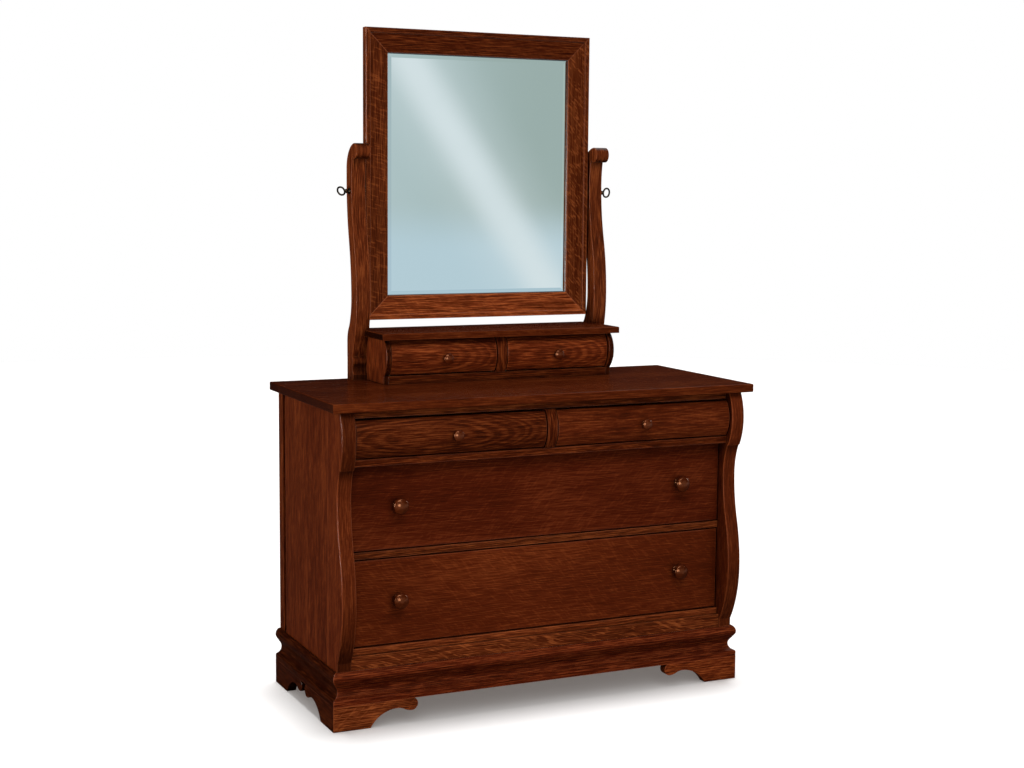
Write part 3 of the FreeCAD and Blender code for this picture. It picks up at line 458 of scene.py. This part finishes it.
# boards, with the nodes that are cut from them
boards = {
    "slabOak": dict(flatTop, cut=("top_slab",), heart=(0.55, 0.10), staves=0.105, staveShift=0.30, fibre=0.6,
                    tone=0.97, gloss=0.24, specular=0.05, tint=(1.0, 0.47, 0.10), endShade=0.3),
    "sideOakLeft": dict(sidePanel, cut=("side_panel_left",), heart=(-0.50, 0.75), staves=0.052),
    "sideOakRight": dict(sidePanel, cut=("side_panel_right",), heart=(0.48, 0.70), staves=0.055),
    # painted shade at the left post's ankle, under its ledge and on its lobe, painted light on its waist
    "postOakLeft": dict(sleighPost, cut=("sleigh_post_left",), heart=(-0.50, 0.75), tone=0.92,
                        lightByHeight=((0.20, 0.50), (0.26, 0.95), (0.30, 1.02), (0.52, 1.28), (0.640, 1.20),
                                 (0.667, 0.42), (0.674, 0.75), (0.83, 0.75))),
    # painted light on the right post's waist and lobe, painted shade under its ledge
    "postOakRight": dict(sleighPost, cut=("sleigh_post_right",), heart=(0.48, 0.70), tone=0.84,
                         lightByHeight=((0.30, 1.0), (0.52, 1.45), (0.640, 1.50), (0.667, 0.7), (0.674, 1.65),
                                  (0.83, 1.65))),
    "stileOak": dict(cut=("back_stiles",), lie="upright", heart=(0.10, 0.90), rings=0.2, tone=0.82),
    "topRailOak": dict(cut=("top_rail",), lie="acrossFace", heart=(0.42, 0.20), ring=0.0035, tone=1.35,
                       finish=brown),
    "friezeOak": dict(cut=("frieze_rail",), lie="acrossFace", heart=(0.42, 0.25), tilt=(0.0, 1.2),
                      ring=0.0035, tone=0.83),
    "middleRailOak": dict(cut=("middle_rail",), lie="acrossFace", heart=(0.40, 0.10), tilt=(0.0, 1.2),
                          ring=0.0035, rings=0.4, tone=1.22, finish=brown),
    "bladeOak": dict(cut=("bottom_blade",), lie="acrossFace", heart=(0.38, 0.10), tone=1.83, finish=brown),
    "lowerRailOak": dict(cut=("lower_rail",), lie="acrossFace", heart=(0.215, -0.45), fleck=0.48,
                         ray=(125.0, 50.0, 19.0), tone=1.54, finish=brown),
    "dividerOak": dict(cut=("top_divider", "deck_divider"), lie="upright", heart=(0.08, -0.35), tone=0.85,
                       shaped=True),
    "lowerDrawerOak": dict(wideFront, cut=("lower_drawer_front",), heart=(0.26, -0.35), tone=1.26),
    "upperDrawerOak": dict(wideFront, cut=("upper_drawer_front",), heart=(0.22, 1.20), tone=0.95,
                           finish=cherry),
    "topLeftOak": dict(bowedFront, cut=("top_left_drawer_front",), heart=(-0.25, 0.752), sweep=(-0.28, 0.36),
                       ring=0.0045, rings=0.27, tone=0.82),
    # painted light on the lower half of this bowed front
    "topRightOak": dict(bowedFront, cut=("top_right_drawer_front",), heart=(-0.22, 0.700),
                        sweep=(0.05, -0.30), ring=0.0045, rings=0.12, fibre=0.7, tone=1.04, paintedShade=0.5,
                        front=stain, lightByHeight=((0.70, 1.25), (0.745, 1.16), (0.765, 1.0), (0.80, 1.0))),
    "footOak": dict(cut=(), lie="acrossFace", heart=(0.245, 0.75), fibre=1.3, fleck=0.22, tone=1.6,
                    finish=brown),
    "footOakRight": dict(cut=(), lie="acrossFace", heart=(0.245, 0.70), fibre=1.1, fleck=0.08, tone=1.54),
    # the feet's side boards are painted far darker than their fronts: painted shade
    "footOakSide": dict(cut=("front_foot_left", "front_foot_right", "back_foot_left", "back_foot_right"),
                        lie="deep", heart=(-0.2, 0.30), fleck=0.15, tone=0.35),
    "mouldingOak": dict(cut=("moulding_front",), lie="acrossFace", heart=(0.02, 0.42), tone=1.12, paintedShade=0.95,
                        reach=0.05, depth=0.56, wearAndHighlight=0.8, finish=cherry, gloss=0.24, specular=0.12),
    # the moulding's side boards are painted far darker than its front: painted shade
    "mouldingOakSide": dict(cut=("moulding_left", "moulding_right"), lie="deep", heart=(-0.2, 0.35),
                            tone=0.275, paintedShade=0.2),
    "deckEndOak": dict(cut=("deck_end_left", "deck_end_right"), lie="upright", heart=(-0.36, 0.60),
                       rings=0.2, fibre=1.3, tone=1.1, front=toned(stain, 0.3)),
    "deckRailOak": dict(cut=("deck_rail",), lie="acrossFace", heart=(-0.2, 0.70), tone=0.66),
    # the shelf's front edge is painted darker than its top: painted shade
    "deckShelfOak": dict(flatTop, cut=("deck_shelf",), heart=(0.80, 0.02), fibre=0.5, tone=0.95,
                         front=toned(stain, 0.82), gloss=0.26, specular=0.04, tint=(1.0, 0.47, 0.08),
                         endShade=0.12),
    "deckLeftOak": dict(bowedFront, cut=("deck_left_drawer_front",), heart=(-0.35, 0.915),
                        sweep=(-0.35, 0.26), ring=0.0040, rings=0.26, tone=1.3, wearAndHighlight=0.8),
    "deckRightOak": dict(bowedFront, cut=("deck_right_drawer_front",), heart=(-0.35, 0.925),
                         sweep=(-0.35, -0.08), ring=0.0040, rings=0.26, tone=1.48, wearAndHighlight=0.8),
    "mirrorPostOakLeft": dict(mirrorPost, cut=("mirror_post_left",), heart=(-0.369, 0.262), tone=1.45,
                              specular=0.05),
    # the right post's fronts are painted darker than its sides: painted shade
    "mirrorPostOakRight": dict(mirrorPost, cut=("mirror_post_right",), heart=(0.371, 0.258), tone=1.5,
                               front=toned(brown, 0.9), specular=0.08),
    "mirrorStileOakLeft": dict(mirrorStile, cut=("mirror_stile_left",), fibre=0.8, fleck=0.32,
                               ray=(60.0, 160.0, 90.0), tone=1.2),
    "mirrorStileOakRight": dict(mirrorStile, cut=("mirror_stile_right",), fibre=0.6, streak=0.05, fleck=0.62,
                                ray=(215.0, 185.0, 60.0), tone=1.1),
    # the bottom rail is painted much lighter and the crest darker than the stiles: painted light and shade
    "mirrorRailOak": dict(cut=("mirror_rail_bottom",), lie="acrossFace", heart=(-0.22, 0.60), tone=2.4,
                          wearAndHighlight=0.8, finish=brown),
    "mirrorCrestOak": dict(cut=("mirror_rail_top",), lie="acrossFace", heart=(-0.20, 0.90), tone=0.73,
                           wearAndHighlight=0.8),
    "knobOak": dict(cut=("lower_drawer_knobs", "upper_drawer_knobs", "top_left_drawer_knob",
                         "top_right_drawer_knob", "deck_left_drawer_knob", "deck_right_drawer_knob"),
                    lie="across", heart=(0.9, -0.9), rings=0.1, fibre=0.3, pore=0.0, finish=turned,
                    gloss=0.2, specular=0.7, tint=(1.0, 0.42, 0.20), wearAndHighlight=0.0, shine=0.0, paintedShade=0.95,
                    reach=0.025, depth=0.5, bump=0.1),
    "boxMaple": dict(maple, cut=("lower_drawer_box", "upper_drawer_box", "top_left_drawer_box",
                                 "top_right_drawer_box", "deck_left_drawer_box", "deck_right_drawer_box"),
                     heart=(1.4, -1.2), pore=0.2, gloss=0.42),
    "frameMaple": dict(maple, cut=("drawer_runners", "bottom_panel", "deck_floor"), heart=(-1.2, 1.1),
                       tone=0.8, gloss=0.5),
    "backOak": dict(cut=("back_panel", "deck_back", "mirror_backing", "base_back_rail"), lie="uprightFace",
                    heart=(-0.35, -0.9), ring=0.005, rings=0.6, tone=1.25, gloss=0.5, specular=0.2),
}
oaks = {}
for name, board in boards.items():
    oaks[name] = oakBoard(name, **{key: value for key, value in board.items() if key != "cut"})
    for node in board["cut"]:
        nodes[node].material_slots[0].material = oaks[name]
print("oak boards laid out,", len(boards))


# copies of solids that the real maker sands round, with the width of the rounding
softEdges = {
    "mirror_post_left": 0.0022, "mirror_post_right": 0.0022,
    "deck_end_left": 0.0016, "deck_end_right": 0.0016, "deck_rail": 0.0012,
}
sanding = dict(merge=1e-6, flatAngle=0.2, edgeAngle=28.0, segments=3)
feet = dict(nodes=("front_foot_left", "front_foot_right", "back_foot_left", "back_foot_right"), board=0.026,
            corner=(0.599, -0.2195), probe=0.001, rounding=0.0010)


# board of a foot that a face belongs to: its middle is stepped into the wood and looked up in the plan
def footBoard(face):
    inside = face.calc_center_median() - face.normal * feet["probe"]
    inward = feet["corner"][0] - abs(inside.x)
    back = inside.y - feet["corner"][1]
    if inward > feet["board"] and back > feet["board"]:
        return "block"
    return "front" if back < inward else "side"


# copy of a node as a smooth mesh, where keep is the one board of a foot that stays
def copyNode(node, name, material, keep=None, flatten=False):
    shape = bmesh.new()
    shape.from_mesh(nodes[node].data)
    if keep:
        others = [face for face in shape.faces if footBoard(face) != keep]
        bmesh.ops.delete(shape, geom=others, context="FACES")
    bmesh.ops.remove_doubles(shape, verts=shape.verts, dist=sanding["merge"])
    if flatten:
        bmesh.ops.dissolve_limit(shape, angle_limit=math.radians(sanding["flatAngle"]), verts=shape.verts,
                                 edges=shape.edges)
    for face in shape.faces:
        face.smooth = True
    mesh = bpy.data.meshes.new(name)
    shape.to_mesh(mesh)
    shape.free()
    if "custom_normal" in mesh.attributes:
        mesh.attributes.remove(mesh.attributes["custom_normal"])
    mesh.materials.append(material)
    piece = bpy.data.objects.new(name, mesh)
    scene.collection.objects.link(piece)
    return piece


def softCopy(node, width, name, material, keep=None):
    piece = copyNode(node, name, material, keep, flatten=True)
    sanded = piece.modifiers.new("sanded", "BEVEL")
    sanded.width = width
    sanded.segments = sanding["segments"]
    sanded.limit_method = "ANGLE"
    sanded.angle_limit = math.radians(sanding["edgeAngle"])
    sanded.harden_normals = True
    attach(piece, nodes[node]["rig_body"])
    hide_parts(node)


for node, width in softEdges.items():
    softCopy(node, width, node + "_soft", nodes[node].material_slots[0].material)
for node in feet["nodes"]:
    if "front" in node:
        frontOak = oaks["footOak" if "left" in node else "footOakRight"]
        softCopy(node, feet["rounding"], node + "_front", frontOak, "front")
    for keep in ("side", "block"):
        softCopy(node, feet["rounding"], node + "_" + keep, oaks["footOakSide"], keep)
print("edges sanded on", len(softEdges), "pieces and the feet")


# dark bronze of the ring screws and their bushes
bronze = dict(colour=(0.022, 0.015, 0.009), rubbed=(0.14, 0.10, 0.06), roughness=0.24, roughSwing=0.2,
              patina=260.0, patinaCut=(0.5, 0.8), edge=0.0012, edgeShare=0.6, relief=0.2, reliefDepth=0.0003)


def makeBronze():
    material, tree, shader = newMaterial("antiqueBronze")
    where = addNode(tree, "ShaderNodeTexCoord").outputs["Object"]
    patina = noise(tree, where, bronze["patina"], 4.0, 0.6)
    nearEdge = addNode(tree, "ShaderNodeGroup", node_tree=edgeMask)
    nearEdge.inputs["Width"].default_value = bronze["edge"]
    rubbed = calc(tree, "MULTIPLY_ADD", nearEdge.outputs["Mask"], bronze["edgeShare"],
                  ramp(tree, patina, *bronze["patinaCut"]), clamp=True)
    colour = mixColour(tree, rubbed, opaque(bronze["colour"]), opaque(bronze["rubbed"]))
    feed(tree, shader.inputs["Base Color"], colour)
    rough = calc(tree, "MULTIPLY_ADD", patina, bronze["roughSwing"], bronze["roughness"])
    feed(tree, shader.inputs["Roughness"], rough)
    addRelief(tree, shader, patina, bronze["relief"], bronze["reliefDepth"])
    shader.inputs["Metallic"].default_value = 1.0
    return material


# a casting is fuller than the drawn wire, so what stands clear of the post swells a little
ringCast = dict(nodes=("ring_screw_left", "ring_screw_right"), clear=0.395, swell=0.0006)


def castRing(node, material):
    piece = copyNode(node, node + "_cast", material)
    outside = piece.vertex_groups.new(name="outside")
    clearOfPost = [vert.index for vert in piece.data.vertices if abs(vert.co.x) > ringCast["clear"]]
    outside.add(clearOfPost, 1.0, "REPLACE")
    fuller = piece.modifiers.new("fuller", "DISPLACE")
    fuller.vertex_group = "outside"
    fuller.mid_level = 0.0
    fuller.strength = ringCast["swell"]
    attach(piece, nodes[node]["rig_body"])
    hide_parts(node)


# silvered plate glass, with painted reflection tints on its bevels: darker on the left and bottom, paler on
# the right
glass = dict(colour=(0.665, 0.888, 0.960), left=(0.588, 0.800, 0.890), right=(0.735, 0.960, 1.0),
             bottom=(0.58, 0.80, 0.88), slantCut=(0.02, 0.04), roughness=(0.02, 0.04), breath=7.0,
             breathCut=(0.3, 0.7), ripple=3.0, rippleStrength=0.02, rippleDepth=0.001)


def makeMirror():
    material, tree, shader = newMaterial("silveredGlass")
    where = addNode(tree, "ShaderNodeTexCoord").outputs
    breath = noise(tree, where["Object"], glass["breath"], 3.0)
    feed(tree, shader.inputs["Roughness"], ramp(tree, breath, *glass["breathCut"], *glass["roughness"]))
    ripple = noise(tree, where["Object"], glass["ripple"], 1.0)
    addRelief(tree, shader, ripple, glass["rippleStrength"], glass["rippleDepth"])
    facing = splitXyz(tree, where["Normal"])
    colour = opaque(glass["colour"])
    for part, sign, bevel in ((0, -1.0, "left"), (0, 1.0, "right"), (2, -1.0, "bottom")):
        slant = ramp(tree, calc(tree, "MULTIPLY", facing[part], sign), *glass["slantCut"])
        colour = mixColour(tree, slant, colour, opaque(glass[bevel]))
    feed(tree, shader.inputs["Base Color"], colour)
    shader.inputs["Metallic"].default_value = 1.0
    return material


bronzeMetal = makeBronze()
for node in ("pivot_bushes", *ringCast["nodes"]):
    nodes[node].material_slots[0].material = bronzeMetal
for node in ringCast["nodes"]:
    castRing(node, bronzeMetal)
nodes["mirror_glass"].material_slots[0].material = makeMirror()
print("metal and glass done")


# pale studio floor: white to the camera but for the soft shadow, dull to the case, a pale card to the mirror
floorLook = dict(radius=9.0, sides=96, drop=0.0005, pale=0.80, glow=(0.168, 0.150, 0.140), behind=0.03,
                 front=0.24, frontCut=(-0.7, -1.6), bounce=0.12, bounceCut=(-1.5, -0.9),
                 card=(0.675, 0.675, 0.690), cardCut=(-1.6, -2.4))


def makeFloor():
    mesh = bpy.data.meshes.new("studioFloor")
    shape = bmesh.new()
    bmesh.ops.create_circle(shape, cap_ends=True, segments=floorLook["sides"], radius=floorLook["radius"])
    shape.to_mesh(mesh)
    shape.free()
    floor = bpy.data.objects.new("studioFloor", mesh)
    floor.location = (0.0, 0.0, -floorLook["drop"])
    scene.collection.objects.link(floor)
    material = bpy.data.materials.new("studioFloor")
    material.use_nodes = True
    tree = material.node_tree
    tree.nodes.clear()

    def shaderOf(kind, colour):
        node = addNode(tree, kind)
        feed(tree, node.inputs["Color"], colour)
        return node.outputs[0]

    def blend(factor, a, b):
        node = addNode(tree, "ShaderNodeMixShader")
        for socket, value in zip(node.inputs, (factor, a, b)):
            feed(tree, socket, value)
        return node.outputs[0]

    ray = addNode(tree, "ShaderNodeLightPath").outputs
    y = splitXyz(tree, addNode(tree, "ShaderNodeTexCoord").outputs["Object"])[1]
    seen = addNode(tree, "ShaderNodeAddShader")
    feed(tree, seen.inputs[0], shaderOf("ShaderNodeBsdfDiffuse", opaque((floorLook["pale"],) * 3)))
    feed(tree, seen.inputs[1], shaderOf("ShaderNodeEmission", opaque(floorLook["glow"])))
    dim = ramp(tree, y, *floorLook["frontCut"], floorLook["behind"], floorLook["front"])
    near = ramp(tree, y, *floorLook["bounceCut"], floorLook["behind"], floorLook["bounce"])
    dull = shaderOf("ShaderNodeBsdfDiffuse", mixColour(tree, ray["Is Diffuse Ray"], dim, near))
    shine = calc(tree, "MULTIPLY", ray["Is Glossy Ray"], ramp(tree, y, *floorLook["cardCut"]))
    mirrored = blend(shine, dull, shaderOf("ShaderNodeEmission", opaque(floorLook["card"])))
    end = addNode(tree, "ShaderNodeOutputMaterial")
    feed(tree, end.inputs[0], blend(ray["Is Camera Ray"], mirrored, seen.outputs[0]))
    mesh.materials.append(material)
    return floor


# white to the camera, while reflections see a dark room with a pale front and a card with diagonal streaks
# of light: a Cut is an angle in degrees where something starts and ends
worldLook = dict(fill=(0.10, 0.097, 0.094), low=(0.675, 0.675, 0.690), lowCut=(-0.4, -2.3),
                 left=(0.62, 0.60, 0.565), right=(0.48, 0.47, 0.415), rightCut=(-3.5, 2.0),
                 streak=(0.985, 0.85, 0.81), streakAt=24.25, streakSlope=0.624, streakGap=16.0,
                 coreCut=(1.3, 0.1), core=0.62, haloCut=(2.8, 0.0), halo=0.33,
                 frontCut=(85.0, 65.0), frontTopCut=(8.0, 5.0), cardCut=(22.0, 16.0),
                 cardTopCut=(26.0, 20.0), room=0.010, ceiling=0.30, ceilingCut=(40.0, 55.0))


def makeWorld():
    world = bpy.data.worlds.new("studio")
    scene.world = world
    world.use_nodes = True
    tree = world.node_tree
    tree.nodes.clear()

    def fade(value, label):
        return ramp(tree, value, *worldLook[label])

    ray = addNode(tree, "ShaderNodeLightPath").outputs
    x, y, z = splitXyz(tree, addNode(tree, "ShaderNodeTexCoord").outputs["Generated"])
    degrees = 180.0 / math.pi
    azimuth = calc(tree, "MULTIPLY", calc(tree, "ARCTAN2", x, calc(tree, "MULTIPLY", y, -1.0)), degrees)
    height = calc(tree, "MULTIPLY", calc(tree, "ARCSINE", z), degrees)
    aside = calc(tree, "SUBTRACT", azimuth, worldLook["streakAt"])
    off = calc(tree, "PINGPONG", calc(tree, "MULTIPLY_ADD", height, worldLook["streakSlope"], aside),
               worldLook["streakGap"])
    beam = calc(tree, "ADD", calc(tree, "MULTIPLY", fade(off, "coreCut"), worldLook["core"]),
                calc(tree, "MULTIPLY", fade(off, "haloCut"), worldLook["halo"]))
    pale = mixColour(tree, fade(aside, "rightCut"), opaque(worldLook["left"]), opaque(worldLook["right"]))
    pale = mixColour(tree, fade(height, "lowCut"), pale, opaque(worldLook["low"]))
    pale = mixColour(tree, beam, pale, opaque(worldLook["streak"]))
    front = calc(tree, "MULTIPLY", fade(calc(tree, "ABSOLUTE", azimuth), "frontCut"),
                 fade(height, "frontTopCut"))
    card = calc(tree, "MULTIPLY", fade(calc(tree, "ABSOLUTE", aside), "cardCut"), fade(height, "cardTopCut"))
    room = mixColour(tree, fade(height, "ceilingCut"), opaque((worldLook["room"],) * 3),
                     opaque((worldLook["ceiling"],) * 3))
    shown = mixColour(tree, calc(tree, "MAXIMUM", front, card), room, pale)
    colour = mixColour(tree, ray["Is Glossy Ray"], opaque(worldLook["fill"]), shown)
    colour = mixColour(tree, ray["Is Camera Ray"], colour, (1.0, 1.0, 1.0, 1.0))
    sky = addNode(tree, "ShaderNodeBackground")
    feed(tree, sky.inputs["Color"], colour)
    end = addNode(tree, "ShaderNodeOutputWorld")
    feed(tree, end.inputs[0], sky.outputs[0])


# soft banks of light on the dresser, and two suns of the floor's own
lamps = {
    "leftBank": dict(at=(-4.0, -0.6, 1.1), aim=(-0.5, 0.0, 0.7), size=(1.5, 2.0), power=123.0),
    "viewerBank": dict(at=(-1.0, -4.3, 1.0), aim=(0.0, -0.2, 0.5), size=(1.3, 1.3), power=62.0),
    "frontBank": dict(at=(-0.6, -3.0, 3.6), aim=(0.0, 0.0, 0.6), size=(2.4, 1.6), power=86.0),
    "rightRim": dict(at=(3.8, -0.6, 2.0), aim=(0.0, -0.25, 0.6), size=(0.6, 1.2), power=25.0),
    "backFill": dict(at=(1.6, 4.2, 1.7), aim=(0.2, 0.2, 0.9), size=(2.0, 1.4), power=50.0, mirrored=False),
    "overhead": dict(at=(1.8, 0.9, 3.4), aim=(0.3, 0.0, 0.6), size=(2.2, 1.6), power=30.0),
}
floorWash = {
    "floorHigh": dict(tilt=-3.0, turn=-40.0, spread=15.0, strength=3.4),
    "floorFront": dict(tilt=45.0, turn=-25.0, spread=60.0, strength=1.0),
}


def makeLamps(floor):
    offFloor = bpy.data.collections.new("offFloor")
    offFloor.objects.link(floor)
    offFloor.collection_objects[0].light_linking.link_state = "EXCLUDE"
    onFloor = bpy.data.collections.new("onFloor")
    onFloor.objects.link(floor)
    for name, lamp in lamps.items():
        light = bpy.data.lights.new(name, "AREA")
        light.shape = "RECTANGLE"
        light.size, light.size_y = lamp["size"]
        light.energy = lamp["power"]
        holder = bpy.data.objects.new(name, light)
        holder.location = lamp["at"]
        towards = Vector(lamp["aim"]) - Vector(lamp["at"])
        holder.rotation_euler = towards.to_track_quat("-Z", "Y").to_euler()
        holder.visible_camera = False
        holder.visible_glossy = lamp.get("mirrored", True)
        scene.collection.objects.link(holder)
        holder.light_linking.receiver_collection = offFloor
    for name, wash in floorWash.items():
        light = bpy.data.lights.new(name, "SUN")
        light.angle = math.radians(wash["spread"])
        light.energy = wash["strength"]
        holder = bpy.data.objects.new(name, light)
        holder.rotation_euler = (math.radians(wash["tilt"]), 0.0, math.radians(wash["turn"]))
        scene.collection.objects.link(holder)
        holder.light_linking.receiver_collection = onFloor


# camera where the photograph was taken from
viewer = dict(lens=58.74, sensor=36.0, at=(-1.943, -4.1105, 1.3795), turn=25.25, dip=6.77, roll=0.50)


def makeCamera():
    turn, dip, roll = (math.radians(viewer[key]) for key in ("turn", "dip", "roll"))
    ahead = Vector((math.sin(turn) * math.cos(dip), math.cos(turn) * math.cos(dip), -math.sin(dip)))
    level = Vector((math.cos(turn), -math.sin(turn), 0.0))
    over = level.cross(ahead)
    right = level * math.cos(roll) + over * math.sin(roll)
    up = over * math.cos(roll) - level * math.sin(roll)
    lens = bpy.data.cameras.new("viewer")
    lens.lens = viewer["lens"]
    lens.sensor_width = viewer["sensor"]
    camera = bpy.data.objects.new("viewer", lens)
    camera.matrix_world = Matrix((right, up, -ahead)).transposed().to_4x4()
    camera.location = viewer["at"]
    scene.collection.objects.link(camera)
    scene.camera = camera


makeWorld()
makeLamps(makeFloor())
makeCamera()
print("studio ready")
